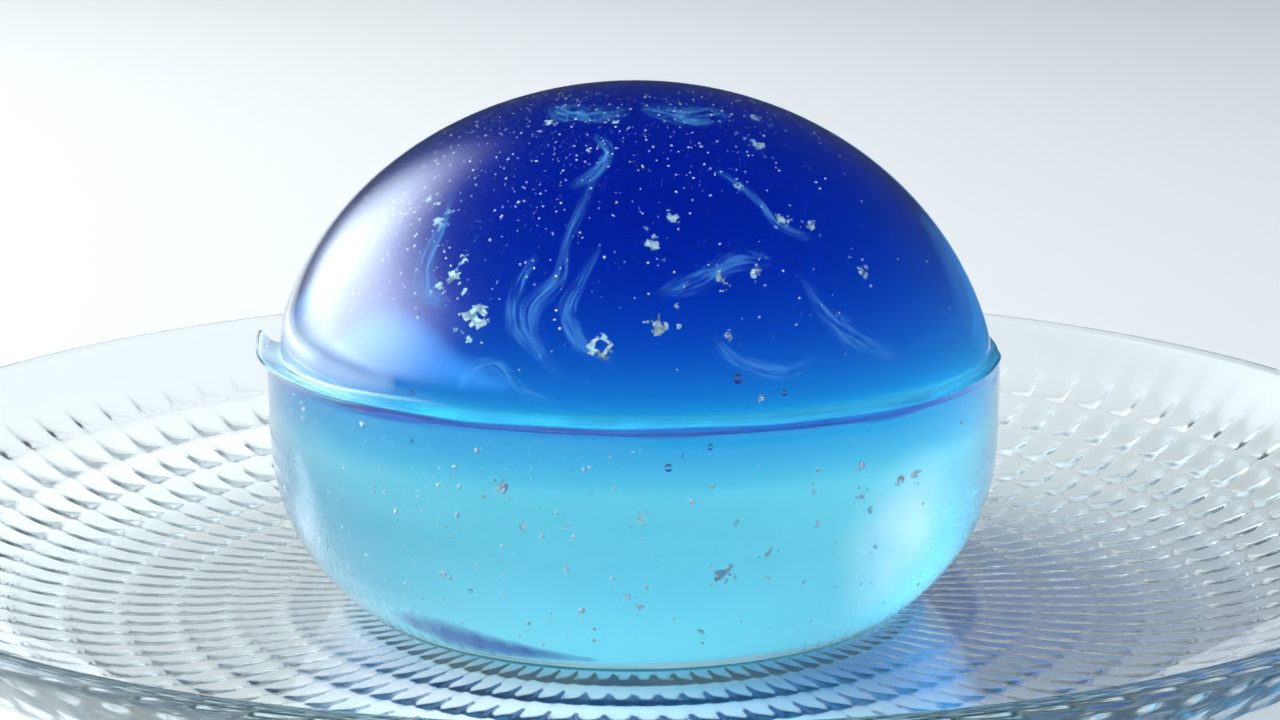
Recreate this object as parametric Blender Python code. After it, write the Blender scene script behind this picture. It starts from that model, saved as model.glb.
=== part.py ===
"""Two-tone raindrop jelly cake on its pressed clear-glass plate.

Metres, +Z up. The origin is the middle of the plate's resting plane; -Y is the side that is looked at.
"""
import math

import bmesh
import bpy

# ---------------------------------------------------------------- plate
PLATE_THICK = 0.0030          # glass thickness, crest of the relief to the smooth face
PLATE_RELIEF = 0.0009         # how deep the valleys between the pillows go
PLATE_FLAT_RADIUS = 0.0440    # the smooth face is level out to here
PLATE_RIM_RADIUS = 0.0885     # inner edge of the rounded lip
PLATE_RISE = 0.0155           # the lip's inner edge above the level middle
PLATE_CURVE = 2.66            # power of the rising wall
PLATE_RING = 0.00597          # width of one ring of pillows, measured along the wall
PLATE_FIRST_RING = 0.0206     # inner radius of the innermost ring
PLATE_RINGS = 12
PLATE_SECTORS = 96            # pillows round each ring
PLATE_BOSS_RADIUS = 0.0150    # plain resting disc under the middle
PLATE_HIP = 0.26              # share of a pillow's length that each sloping end takes

# ---------------------------------------------------------------- jelly
GAP = 0.0003                  # clearance between touching pieces
JELLY_RADIUS = 0.0396         # widest radius of both jellies
JELLY_WAIST = 0.0209          # height of the widest place above the plate
JELLY_SEAM = 0.0274           # height of the seam above the plate
JELLY_HEIGHT = 0.0560         # height of the top above the plate
BODY_DEPTH = 0.0289           # vertical half axis of the lower body's rounded side
BODY_POWER = 2.6              # above 2 gives straighter sides that turn in late
FOOT_ROUND = 0.0005           # rounding where the side meets the plate
SEAM_SLOPE = -0.0075          # rise of the seam per metre towards +X
LIP_FLARE = 0.0004            # how far the seam's lip stands out all round
LIP_FLARE_LEFT = 0.0015       # extra on the -X side, where a thin fin stands up
LIP_RISE = 0.0003             # height of the lip's edge above the seam
LIP_RISE_LEFT = 0.0017        # extra on the -X side
LIP_THICK = 0.0006
PINCH = 0.0009                # how far the dome's foot draws in from its own curve
PINCH_LEFT = 0.0015           # extra on the -X side
PINCH_HEIGHT = 0.0034         # height over which it draws in
JELLY_SEGMENTS = 48
UNEVEN = 0.00035              # soft waviness of the jelly's outline


def clear_scene():
    for thing in list(bpy.data.objects):
        bpy.data.objects.remove(thing, do_unlink=True)


def plain_material(name, colour, roughness, transmission, ior):
    material = bpy.data.materials.new(name)
    material.use_nodes = True
    shader = material.node_tree.nodes["Principled BSDF"]
    shader.inputs["Base Color"].default_value = (*colour, 1.0)
    shader.inputs["Roughness"].default_value = roughness
    shader.inputs["Metallic"].default_value = 0.0
    shader.inputs["Transmission Weight"].default_value = transmission
    shader.inputs["IOR"].default_value = ior
    material.diffuse_color = (*colour, 1.0)
    return material


def add_object(name, bm, material, sharp_angle):
    bmesh.ops.recalc_face_normals(bm, faces=bm.faces)
    mesh = bpy.data.meshes.new(name)
    bm.to_mesh(mesh)
    bm.free()
    mesh.shade_smooth()
    mesh.set_sharp_from_angle(angle=math.radians(sharp_angle))
    mesh.materials.append(material)
    thing = bpy.data.objects.new(name, mesh)
    bpy.context.scene.collection.objects.link(thing)
    return thing


# ---------------------------------------------------------------- plate
def wall_height(radius):
    """Height of the smooth upper face at a radius."""
    share = max(0.0, radius - PLATE_FLAT_RADIUS) / (PLATE_RIM_RADIUS - PLATE_FLAT_RADIUS)
    return PLATE_THICK + PLATE_RISE * share ** PLATE_CURVE


def wall_slope(radius):
    """Angle of the upper face above level at a radius."""
    run = PLATE_RIM_RADIUS - PLATE_FLAT_RADIUS
    share = max(0.0, radius - PLATE_FLAT_RADIUS) / run
    return math.atan(PLATE_RISE * PLATE_CURVE / run * share ** (PLATE_CURVE - 1))


def under_face(radius, depth):
    """Point at a depth below the upper face, square to it: (radius, height)."""
    slope = wall_slope(radius)
    return radius + depth * math.sin(slope), wall_height(radius) - depth * math.cos(slope)


def walk_out(radius, length, steps=12):
    """Radius reached after walking a length outwards along the upper face."""
    for _ in range(steps):
        radius += length / steps * math.cos(wall_slope(radius))
    return radius


def circle_row(bm, radius, height, turn=0.0):
    """One row of vertices round the axis, turned by a share of a sector."""
    row = []
    for index in range(PLATE_SECTORS):
        angle = 2 * math.pi * (index + turn) / PLATE_SECTORS
        row.append(bm.verts.new((radius * math.cos(angle), radius * math.sin(angle), height)))
    return row


def join_rows(bm, first, second):
    for index in range(PLATE_SECTORS):
        after = (index + 1) % PLATE_SECTORS
        bm.faces.new((first[index], first[after], second[after], second[index]))


def pillow_ring(bm, inner_row, inner_radius, outer_radius):
    """A ring of hipped pillows between two rows that lie in the valleys."""
    span = outer_radius - inner_radius
    crest_in = under_face(inner_radius + PLATE_HIP * span, PLATE_THICK)
    crest_out = under_face(outer_radius - PLATE_HIP * span, PLATE_THICK)
    ridge_in = circle_row(bm, *crest_in, turn=0.5)
    ridge_out = circle_row(bm, *crest_out, turn=0.5)
    outer_row = circle_row(bm, *under_face(outer_radius, PLATE_THICK - PLATE_RELIEF))
    for index in range(PLATE_SECTORS):
        after = (index + 1) % PLATE_SECTORS
        bm.faces.new((inner_row[index], inner_row[after], ridge_in[index]))
        bm.faces.new((outer_row[after], outer_row[index], ridge_out[index]))
        bm.faces.new((inner_row[index], ridge_in[index], ridge_out[index], outer_row[index]))
        bm.faces.new((inner_row[after], outer_row[after], ridge_out[index], ridge_in[index]))
    return outer_row


def lip_rows(bm, depth):
    """The rounded lip, from the upper face over to the smooth outer band."""
    slope = wall_slope(PLATE_RIM_RADIUS)
    middle = under_face(PLATE_RIM_RADIUS, depth / 2)
    rows = []
    for step in range(6):
        turn = math.pi * step / 5
        out = depth / 2 * math.sin(turn)
        up = depth / 2 * math.cos(turn)
        radius = middle[0] + out * math.cos(slope) - up * math.sin(slope)
        height = middle[1] + out * math.sin(slope) + up * math.cos(slope)
        rows.append(circle_row(bm, radius, height))
    return rows


def build_plate(material):
    bm = bmesh.new()
    valley = PLATE_THICK - PLATE_RELIEF

    # underside: boss, plain valley floor, then the rings of pillows
    boss = circle_row(bm, PLATE_BOSS_RADIUS, 0.0)
    bm.faces.new(boss)
    row = circle_row(bm, PLATE_BOSS_RADIUS + PLATE_RELIEF, PLATE_RELIEF)
    join_rows(bm, boss, row)
    radius = PLATE_FIRST_RING
    inner = circle_row(bm, *under_face(radius, valley))
    join_rows(bm, row, inner)
    for _ in range(PLATE_RINGS):
        reached = walk_out(radius, PLATE_RING)
        inner = pillow_ring(bm, inner, radius, reached)
        radius = reached

    # lip and upper face, from the outside in
    rows = lip_rows(bm, valley)
    join_rows(bm, inner, rows[-1])
    for step in range(len(rows) - 1):
        join_rows(bm, rows[step + 1], rows[step])
    row = rows[0]
    wall_steps = 8
    for step in range(1, wall_steps + 1):
        share = 1 - step / wall_steps
        radius = PLATE_FLAT_RADIUS + (PLATE_RIM_RADIUS - PLATE_FLAT_RADIUS) * share
        following = circle_row(bm, radius, wall_height(radius))
        join_rows(bm, row, following)
        row = following
    bm.faces.new(row)
    return add_object("plate", bm, material, 20)


# ---------------------------------------------------------------- jelly
def leftness(x, y):
    """1 on the -X side, a little turned to the back, fading to 0 towards +X."""
    angle = math.atan2(y, x)
    return max(0.0, math.cos(angle - math.radians(168))) ** 3


def body_radius(height):
    """The lower body's outline, height above the plate."""
    share = abs(JELLY_WAIST - height) / BODY_DEPTH
    return JELLY_RADIUS * math.sqrt(max(0.0, 1 - share ** BODY_POWER))


def dome_radius(height):
    share = (height - JELLY_WAIST) / (JELLY_HEIGHT - JELLY_WAIST)
    return JELLY_RADIUS * math.sqrt(max(0.0, 1 - share ** 2))


def wavy(x, y, z):
    """A share of the radius that swells and sinks softly round the jelly."""
    angle = math.atan2(y, x)
    wave = math.sin(2 * angle + 0.6) + 0.6 * math.sin(3 * angle + 2.1 + 40 * z)
    return 1 + UNEVEN / JELLY_RADIUS * wave * 0.5


def turned(profile, segments):
    """A closed turned body from (radius, height) points that start and end on the axis."""
    bm = bmesh.new()
    points = [bm.verts.new((radius, 0.0, height)) for radius, height in profile]
    edges = [bm.edges.new(pair) for pair in zip(points, points[1:])]
    bmesh.ops.spin(bm, geom=points + edges, cent=(0, 0, 0), axis=(0, 0, 1),
                   angle=2 * math.pi, steps=segments, use_merge=True)
    bmesh.ops.remove_doubles(bm, verts=bm.verts, dist=0.00002)
    return bm


def lean(x):
    return SEAM_SLOPE * x


def build_lower_jelly(material):
    foot = GAP
    rise_steps = 10
    seam = JELLY_SEAM - GAP
    profile = [(0.0, foot), (body_radius(foot) - FOOT_ROUND, foot)]
    for step in range(rise_steps + 1):
        height = foot + FOOT_ROUND + (seam - foot - FOOT_ROUND) * (step / rise_steps) ** 1.15
        profile.append((body_radius(height), height))
    edge = body_radius(seam)
    profile += [(edge + LIP_FLARE, seam + LIP_THICK / 2),
                (edge + LIP_FLARE, seam + LIP_THICK),
                (edge + LIP_FLARE - LIP_THICK, seam + LIP_THICK),
                (edge - LIP_THICK, seam),
                (edge - PINCH - PINCH_LEFT, seam),
                (0.0, seam)]
    bm = turned(profile, JELLY_SEGMENTS)
    for vert in bm.verts:
        x, y, z = vert.co
        radius = math.hypot(x, y)
        if radius < 1e-6:
            vert.co.z = z + PLATE_THICK
            continue
        scale = wavy(x, y, z) if z > foot + FOOT_ROUND else 1.0
        lift = 0.0
        if z > seam and radius > edge - LIP_THICK * 0.5:
            scale += LIP_FLARE_LEFT * leftness(x, y) / radius
            lift = (z - seam) / LIP_THICK * (LIP_RISE_LEFT * leftness(x, y) + LIP_RISE - LIP_THICK / 2)
        share = max(0.0, (z - foot) / (seam - foot))
        vert.co.x = x * scale
        vert.co.y = y * scale
        vert.co.z = z + lift + lean(x) * share ** 2 + PLATE_THICK
    return add_object("lower_jelly", bm, material, 35)


def build_upper_jelly(material):
    base = JELLY_SEAM
    dome_steps = 14
    foot_steps = 3
    profile = [(0.0, base)]
    for step in range(foot_steps + 1):
        height = base + PINCH_HEIGHT * step / (foot_steps + 1)
        profile.append((dome_radius(height), height))
    start = math.asin((base + PINCH_HEIGHT - JELLY_WAIST) / (JELLY_HEIGHT - JELLY_WAIST))
    for step in range(dome_steps + 1):
        angle = start + (math.pi / 2 - start) * step / dome_steps
        height = JELLY_WAIST + (JELLY_HEIGHT - JELLY_WAIST) * math.sin(angle)
        profile.append((dome_radius(height) if step < dome_steps else 0.0, height))
    bm = turned(profile, JELLY_SEGMENTS)
    for vert in bm.verts:
        x, y, z = vert.co
        radius = math.hypot(x, y)
        if radius < 1e-6:
            vert.co.z = z + PLATE_THICK
            continue
        low = max(0.0, 1 - (z - base) / PINCH_HEIGHT)
        pinch = (PINCH + PINCH_LEFT * leftness(x, y)) * low ** 2
        scale = wavy(x, y, z) - pinch / radius
        fade = (JELLY_HEIGHT - z) / (JELLY_HEIGHT - base)
        vert.co.x = x * scale
        vert.co.y = y * scale
        vert.co.z = z + lean(x) * fade + PLATE_THICK
    return add_object("upper_jelly", bm, material, 35)


def main():
    clear_scene()
    build_plate(plain_material("clear_glass", (0.86, 0.92, 0.95), 0.04, 0.9, 1.5))
    build_lower_jelly(plain_material("cyan_jelly", (0.10, 0.58, 0.80), 0.12, 0.6, 1.35))
    build_upper_jelly(plain_material("blue_jelly", (0.01, 0.05, 0.42), 0.10, 0.5, 1.35))


main()
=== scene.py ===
import math
import random

import bmesh
import bpy
from mathutils import Euler, Matrix, Vector, noise


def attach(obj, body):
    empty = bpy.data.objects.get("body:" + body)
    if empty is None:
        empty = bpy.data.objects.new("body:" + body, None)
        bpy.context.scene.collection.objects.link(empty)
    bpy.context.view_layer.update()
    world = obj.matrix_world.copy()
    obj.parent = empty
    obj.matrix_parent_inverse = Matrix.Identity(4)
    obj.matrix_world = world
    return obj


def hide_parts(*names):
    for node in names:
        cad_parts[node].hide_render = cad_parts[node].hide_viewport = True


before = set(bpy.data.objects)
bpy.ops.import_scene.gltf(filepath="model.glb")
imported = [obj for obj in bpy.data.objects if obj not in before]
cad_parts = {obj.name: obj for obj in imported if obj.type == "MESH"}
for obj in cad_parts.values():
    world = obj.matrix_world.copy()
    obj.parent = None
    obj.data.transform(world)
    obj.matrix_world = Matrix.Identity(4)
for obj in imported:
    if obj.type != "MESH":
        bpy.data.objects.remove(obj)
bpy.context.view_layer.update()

print("frame loaded:", sorted(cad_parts))


# ---- helpers for meshes

def makePiece(name, bm, sharpAngle=None):
    mesh = bpy.data.meshes.new(name)
    bm.to_mesh(mesh)
    bm.free()
    mesh.shade_smooth()
    if sharpAngle is not None:
        mesh.set_sharp_from_angle(angle=math.radians(sharpAngle))
    piece = bpy.data.objects.new(name, mesh)
    bpy.context.scene.collection.objects.link(piece)
    return piece


def turnProfile(points, steps, closed=False):
    # points run from the axis round to the axis, or round a ring; each vertex keeps the number of its point
    bm = bmesh.new()
    rowLayer = bm.verts.layers.int.new("row")
    verts = []
    for row, (radius, height) in enumerate(points):
        vert = bm.verts.new((radius, 0.0, height))
        vert[rowLayer] = row
        verts.append(vert)
    edges = [bm.edges.new(pair) for pair in zip(verts, verts[1:])]
    if closed:
        edges.append(bm.edges.new((verts[-1], verts[0])))
    bmesh.ops.spin(bm, geom=verts + edges, cent=(0, 0, 0), axis=(0, 0, 1),
                   angle=2 * math.pi, steps=steps, use_merge=True)
    bmesh.ops.remove_doubles(bm, verts=bm.verts, dist=0.000002)
    bmesh.ops.recalc_face_normals(bm, faces=bm.faces)
    return bm, rowLayer


def smoothStep(low, high, value):
    share = min(1.0, max(0.0, (value - low) / (high - low)))
    return share * share * (3 - 2 * share)


# ---- helpers for materials

class Wire:
    # one socket of a node; sums on wires add Math nodes
    def __init__(self, paint, socket):
        self.paint = paint
        self.socket = socket

    def math(self, operation, *values):
        return self.paint.node("ShaderNodeMath", {"operation": operation}, dict(enumerate(values)))

    def __add__(self, other):
        return self.math("ADD", self, other)

    def __sub__(self, other):
        return self.math("SUBTRACT", self, other)

    def __rsub__(self, other):
        return self.math("SUBTRACT", other, self)

    def __mul__(self, other):
        return self.math("MULTIPLY", self, other)

    def __truediv__(self, other):
        return self.math("DIVIDE", self, other)

    def __pow__(self, other):
        return self.math("POWER", self, other)

    __radd__ = __add__
    __rmul__ = __mul__

    def rise(self, low, high):
        # 0 below low, 1 above high, smooth between them
        return self.paint.node("ShaderNodeMapRange", {"interpolation_type": "SMOOTHSTEP"},
                               {"Value": self, "From Min": low, "From Max": high})


class Paint:
    # the nodes of one material or world; node() adds any node, its settings first and then its sockets
    def __init__(self, owner):
        owner.use_nodes = True
        self.owner = owner
        self.tree = owner.node_tree
        self.tree.nodes.clear()

    def node(self, kind, settings=None, sockets=None, out=0):
        made = self.tree.nodes.new(kind)
        for key, value in (settings or {}).items():
            if key == "stops":
                ramp = made.color_ramp
                while len(ramp.elements) < len(value):
                    ramp.elements.new(1.0)
                for element, (place, colour) in zip(ramp.elements, value):
                    element.position = place
                    element.color = (*colour, 1.0)
            else:
                setattr(made, key, value)
        for key, value in (sockets or {}).items():
            if isinstance(value, Wire):
                self.tree.links.new(value.socket, made.inputs[key])
            else:
                made.inputs[key].default_value = value
        return Wire(self, made.outputs[out])

    def place(self):
        return self.node("ShaderNodeTexCoord", out="Object")

    def mix(self, share, first, second):
        # first where share is 0, second where it is 1
        ends = [value if isinstance(value, Wire) else (*value, 1.0) for value in (first, second)]
        return self.node("ShaderNodeMix", {"data_type": "RGBA"}, {"Factor": share, 6: ends[0], 7: ends[1]}, 2)

    def own(self, name):
        # a number that the mesh keeps at its vertices
        return self.node("ShaderNodeAttribute", {"attribute_name": name}, None, "Fac")

    def finish(self, surface, volume=None, output="ShaderNodeOutputMaterial"):
        end = self.tree.nodes.new(output)
        self.tree.links.new(surface.socket, end.inputs["Surface"])
        if volume is not None:
            self.tree.links.new(volume.socket, end.inputs["Volume"])
        return self.owner

    def letLampsPass(self, shader, tint=(1.0, 1.0, 1.0)):
        # light from the lamps goes straight through instead of stopping at the surface
        isShadow = self.node("ShaderNodeLightPath", out="Is Shadow Ray")
        clear = self.node("ShaderNodeBsdfTransparent", None, {"Color": (*tint, 1.0)})
        return self.node("ShaderNodeMixShader", None, {0: isShadow, 1: shader, 2: clear})


def newPaint(name):
    return Paint(bpy.data.materials.new(name))


# ---- plate

plate = {
    "thick": 0.0030,        # crest of the relief to the smooth face
    "relief": 0.0009,       # depth of the valleys between the widest pillows
    "reliefShare": 0.16,    # depth of a valley for the width of its pillow
    "outerFade": 0.45,      # how much shallower the outermost pillows are
    "flatRadius": 0.0440,
    "rimRadius": 0.08848,
    "rise": 0.0155,
    "curve": 2.66,
    "ring": 0.00597,        # width of a ring of pillows along the wall
    "firstRing": 0.0206,
    "rings": 11,
    "sectors": 96,
    "bossRadius": 0.0150,
    "cellsAcross": 6,       # facets across one pillow
    "cellsAlong": 7,        # facets along one pillow
}


def wallHeight(radius):
    share = max(0.0, radius - plate["flatRadius"]) / (plate["rimRadius"] - plate["flatRadius"])
    return plate["thick"] + plate["rise"] * share ** plate["curve"]


def wallSlope(radius):
    run = plate["rimRadius"] - plate["flatRadius"]
    share = max(0.0, radius - plate["flatRadius"]) / run
    return math.atan(plate["rise"] * plate["curve"] / run * share ** (plate["curve"] - 1))


def underFace(radius, depth):
    slope = wallSlope(radius)
    return radius + depth * math.sin(slope), wallHeight(radius) - depth * math.cos(slope)


def walkOut(radius, length, steps=12):
    for _ in range(steps):
        radius += length / steps * math.cos(wallSlope(radius))
    return radius


def pillowHeight(across, along):
    # 1 on a pillow's crest and 0 in the valleys; both run from -1 to 1
    arch = 1 - abs(along) ** 2.0
    return arch * (0.22 + 0.78 * (1 - abs(across) ** 2.8))


def buildPlate():
    valley = plate["thick"] - plate["relief"]
    boss = plate["bossRadius"]
    points = [(0.0, 0.0), (boss, 0.0), (boss + plate["relief"], plate["relief"])]
    under = {}              # row number: radius on the wall and place along its pillow
    radius = plate["firstRing"]
    points.append(underFace(radius, valley))
    for ring in range(plate["rings"]):
        reached = walkOut(radius, plate["ring"])
        for step in range(1, plate["cellsAlong"] + 1):
            share = step / plate["cellsAlong"]
            here = radius + (reached - radius) * share
            under[len(points)] = (here, 2 * share - 1, reached - radius)
            points.append(underFace(here, valley))
        radius = reached
    rim = plate["rimRadius"]
    slope = wallSlope(rim)
    middle = underFace(rim, valley / 2)
    for step in range(9):
        turn = math.pi - math.pi * step / 8
        out = valley / 2 * math.sin(turn)
        up = valley / 2 * math.cos(turn)
        points.append((middle[0] + out * math.cos(slope) - up * math.sin(slope),
                       middle[1] + out * math.sin(slope) + up * math.cos(slope)))
    wallSteps = 22
    for step in range(1, wallSteps + 1):
        here = rim + (plate["flatRadius"] - rim) * step / wallSteps
        points.append((here, wallHeight(here)))
    points.append((0.0, plate["thick"]))
    steps = plate["sectors"] * plate["cellsAcross"]
    bm, rowLayer = turnProfile(points, steps)
    underLayer = bm.verts.layers.float.new("under")
    for vert in bm.verts:
        row = vert[rowLayer]
        vert[underLayer] = 1.0 if row <= max(under) else 0.0
        if row not in under:
            continue
        here, along, _ = under[row]
        angle = math.atan2(vert.co.y, vert.co.x)
        across = (angle / (2 * math.pi) * plate["sectors"]) % 1.0 * 2 - 1
        width = 2 * math.pi * here / plate["sectors"]
        relief = min(plate["relief"], plate["reliefShare"] * width)
        relief *= 1 - plate["outerFade"] * smoothStep(plate["rimRadius"] * 0.70, plate["rimRadius"] * 0.97, here)
        depth = plate["thick"] - relief * (1 - pillowHeight(across, along))
        radius, height = underFace(here, depth)
        vert.co = (radius * math.cos(angle), radius * math.sin(angle), height)
    piece = makePiece("glass_plate", bm, 40)
    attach(piece, "root")
    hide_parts("plate")
    return piece


def glassMaterial():
    paint = newPaint("pressed glass")
    place = paint.place()
    cloud = paint.node("ShaderNodeTexNoise", None, {"Vector": place, "Scale": 60.0, "Detail": 0.0})
    under = paint.own("under")
    glass = paint.node("ShaderNodeBsdfPrincipled", None, {
        "Base Color": (0.94, 0.965, 0.965, 1.0), "Roughness": cloud * 0.03 + under * 0.09 + 0.004, "IOR": 1.5,
        "Transmission Weight": 1.0})
    depth = paint.node("ShaderNodeVolumeAbsorption", None,
                       {"Color": (0.55, 0.80, 0.88, 1.0), "Density": 14.0})
    return paint.finish(paint.letLampsPass(glass, (0.90, 0.925, 0.92)), depth)


glassPlate = buildPlate()
glassPlate.data.materials.append(glassMaterial())
print("plate:", len(glassPlate.data.polygons), "faces")


# ---- jelly

jelly = {
    "radius": 0.0396,
    "waist": 0.0209,        # height of the widest place above the plate
    "seam": 0.0274,
    "height": 0.0560,
    "bodyDepth": 0.0289,
    "bodyPower": 2.6,
    "footRound": 0.0008,
    "footFlare": 0.00030,   # the wet edge that spreads on the plate
    "sink": 0.00005,        # how far the foot reaches into the glass, so no air is left between
    "seamSlope": -0.0075,
    "fillet": 0.0014,       # height of the hollow between the lip and the dome
    "lipReach": 0.00072,
    "lipFlareLeft": 0.0010,
    "lipRiseLeft": 0.0003,
    "leftAngle": 194,
    "finAngle": 183,
    "finWidth": 3.5,
    "finRise": 0.0012,
    "lipUnder": 0.00030,    # height of the slope under the lip, and how much more where it swells
    "lipSwell": 0.00050,
    "swells": ((-38, 8), (5, 5), (38, 6), (74, 4), (118, 9), (-74, 5), (-120, 7), (170, 8)),
    "fuller": 0.00035,      # how much fuller the body is just below the lip, and over what height
    "fullerHeight": 0.0070,
    "sagDepth": 0.0023,     # how far the seam hangs low behind the left end, and over what height
    "sagHeight": 0.0090,
    "footDrop": 0.0011,     # how much lower the dome comes down round the left end
    "pinch": 0.00025,
    "pinchLeft": 0.0002,
    "pinchHeight": 0.0028,
    "uneven": 0.00035,
    "blueStart": 0.0013,    # where the blue begins above the seam
    "bleed": 0.0068,        # depth to which the blue has run into the cyan
    "ringDepth": 0.00016,   # how far the milky layer lies under the hollow, and how thick it is
    "ringThick": 0.00008,
    "turns": 168,
}


def bodyRadius(height):
    share = abs(jelly["waist"] - height) / jelly["bodyDepth"]
    return jelly["radius"] * math.sqrt(max(0.0, 1 - share ** jelly["bodyPower"]))


def domeRadius(height):
    share = (height - jelly["waist"]) / (jelly["height"] - jelly["waist"])
    return jelly["radius"] * math.sqrt(max(0.0, 1 - share ** 2))


def rightness(angle):
    # 1 at the right end, where the ledge runs out
    return max(0.0, math.cos(angle)) ** 8


def leftness(angle):
    # 1 at the left, a little to the front, where the lip is widest
    return max(0.0, math.cos(angle - math.radians(jelly["leftAngle"]))) ** 5


def finHeight(angle):
    # the thin film that stands up from the lip at the far left
    away = (math.degrees(angle) - jelly["finAngle"] + 180) % 360 - 180
    return math.exp(-(away / jelly["finWidth"]) ** 2)


def seamSag(angle):
    # 1 just behind the left end, where the seam hangs low
    turn = math.degrees(angle) % 360
    return smoothStep(138, 163, turn) * (1 - smoothStep(169, 181, turn))


def lowFoot(angle):
    # 1 round the left end, where the dome comes straight down on the ledge
    turn = math.degrees(angle) % 360
    return smoothStep(125, 160, turn) * (1 - smoothStep(200, 245, turn))


def leftEnd(angle):
    # 1 at the left end, where the layer over the ledge is a pale film
    turn = math.degrees(angle) % 360
    return smoothStep(125, 155, turn) * (1 - smoothStep(190, 215, turn))


def waviness(angle, height):
    wave = math.sin(2 * angle + 0.6) + 0.6 * math.sin(3 * angle + 2.1 + 40 * height)
    return 1 + jelly["uneven"] / jelly["radius"] * wave * 0.5


def lipSwelling(angle):
    # degrees round from the front; 1 where the slope under the lip is at its tallest
    turn = math.degrees(angle) + 90
    total = 0.0
    for middle, width in jelly["swells"]:
        away = (turn - middle + 180) % 360 - 180
        total += math.exp(-(away / width) ** 2)
    return min(1.0, total)


def bodyProfile(inset, low, high, steps):
    # a stretch of the body's wall, drawn in a little below the lip
    points = []
    for step in range(steps + 1):
        height = low + (high - low) * step / steps
        share = max(0.0, 1 - (jelly["seam"] - height) / jelly["fullerHeight"])
        points.append((bodyRadius(height) - inset + jelly["fuller"] * share ** 2, height))
    return points


def footProfile(inset):
    foot = -jelly["sink"] + inset
    radius = bodyRadius(0.0) - inset
    flare = jelly["footFlare"]
    rounding = jelly["footRound"]
    points = [(0.0, foot), (radius + flare, foot), (radius + flare * 0.8, foot + rounding * 0.25),
              (radius + flare * 0.35, foot + rounding * 0.6)]
    return points + bodyProfile(inset, rounding, rounding * 1.5, 1)[:1]


def domeProfile(inset, steps=44):
    points = []
    start = math.asin((jelly["seam"] + jelly["fillet"] - jelly["waist"]) / (jelly["height"] - jelly["waist"]))
    for step in range(steps + 1):
        turn = start + (math.pi / 2 - start) * step / steps
        height = jelly["waist"] + (jelly["height"] - inset - jelly["waist"]) * math.sin(turn)
        radius = (jelly["radius"] - inset) * math.cos(turn)
        points.append((radius if step < steps else 0.0, height))
    return points


def domeFootRadius(inset=0.0):
    return domeProfile(inset)[0][0] - jelly["pinch"]


def shapeJelly(bm, rowLayer, firstDomeRow, shifts):
    # shifts: row number: shares of the flare, the rise, the swelling and the pinch at the left
    seam = jelly["seam"]
    domeLow = seam + jelly["fillet"]
    for vert in bm.verts:
        x, y, z = vert.co
        radius = math.hypot(x, y)
        if radius < 1e-6:
            vert.co.z = z + plate["thick"]
            continue
        angle = math.atan2(y, x)
        row = vert[rowLayer]
        left = leftness(angle)
        right = rightness(angle)
        scale = waviness(angle, z) if z > jelly["footRound"] else 1.0
        near = abs(z - seam) / jelly["sagHeight"]
        lift = -jelly["sagDepth"] * seamSag(angle) * max(0.0, 1 - near ** 2) ** 2
        if row in shifts:
            flare, rise, swell, pinch = shifts[row]
            edge = noise.noise(Vector((math.cos(angle), math.sin(angle), 0.3)) * 3.1)
            fine = noise.noise(Vector((math.cos(angle), math.sin(angle), 5.3)) * 9.0)
            out = jelly["lipFlareLeft"] * left * flare + 0.00022 * fine * flare
            out += (0.8 * jelly["pinch"] * right - jelly["pinchLeft"] * left) * pinch - 0.0003 * right * flare
            scale += out / radius
            lift += rise * (jelly["lipRiseLeft"] * left + 0.00030 * edge + 0.00012 * fine)
            lift += rise ** 4 * jelly["finRise"] * finHeight(angle)
            lift -= swell * jelly["lipSwell"] * lipSwelling(angle) + pinch * jelly["footDrop"] * lowFoot(angle)
        if row >= firstDomeRow:
            low = max(0.0, 1 - max(0.0, z - domeLow) / jelly["pinchHeight"])
            scale -= (jelly["pinch"] * (1 - 0.8 * right) + jelly["pinchLeft"] * left) * low ** 2 / radius
            lift -= jelly["footDrop"] * lowFoot(angle) * low ** 2
            lean = (jelly["height"] - z) / (jelly["height"] - seam)
        else:
            lean = (z / seam) ** 2 if z < seam else 1.0
        vert.co = (x * scale, y * scale, z + lift + jelly["seamSlope"] * x * lean + plate["thick"])


def lipProfile():
    # the slope under the lip, its rounded edge, then the hollow up to the dome; with the shares for shapeJelly
    edge = bodyRadius(jelly["seam"])
    reach = jelly["lipReach"]
    under = jelly["lipUnder"]
    seam = jelly["seam"]
    wall = edge + jelly["fuller"] * 0.95
    rows = [((wall, seam - under - 0.00042), (0.0, 0.3, 1.0, 0.0)),
            ((wall + reach * 0.05, seam - under - 0.00030), (0.15, 0.5, 1.0, 0.0)),
            ((edge + reach * 0.72, seam - 0.00026), (0.8, 0.9, 0.12, 0.0)),
            ((edge + reach * 0.9, seam - 0.00012), (1.0, 1.0, 0.0, 0.0)),
            ((edge + reach, seam + 0.00006), (1.0, 1.0, 0.0, 0.0)),
            ((edge + reach * 0.8, seam + 0.00020), (1.0, 1.0, 0.0, 0.0))]
    top = edge + reach * 0.55
    base = 0.00026
    inner = domeFootRadius()
    steps = 9
    for step in range(steps):
        turn = math.pi / 2 * (1 - step / steps)
        share = math.cos(turn)
        rows.append(((top - (top - inner) * share, seam + jelly["fillet"] - (jelly["fillet"] - base) * math.sin(turn)),
                     (1 - share, 1 - share, 0.0, share)))
    return rows


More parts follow.
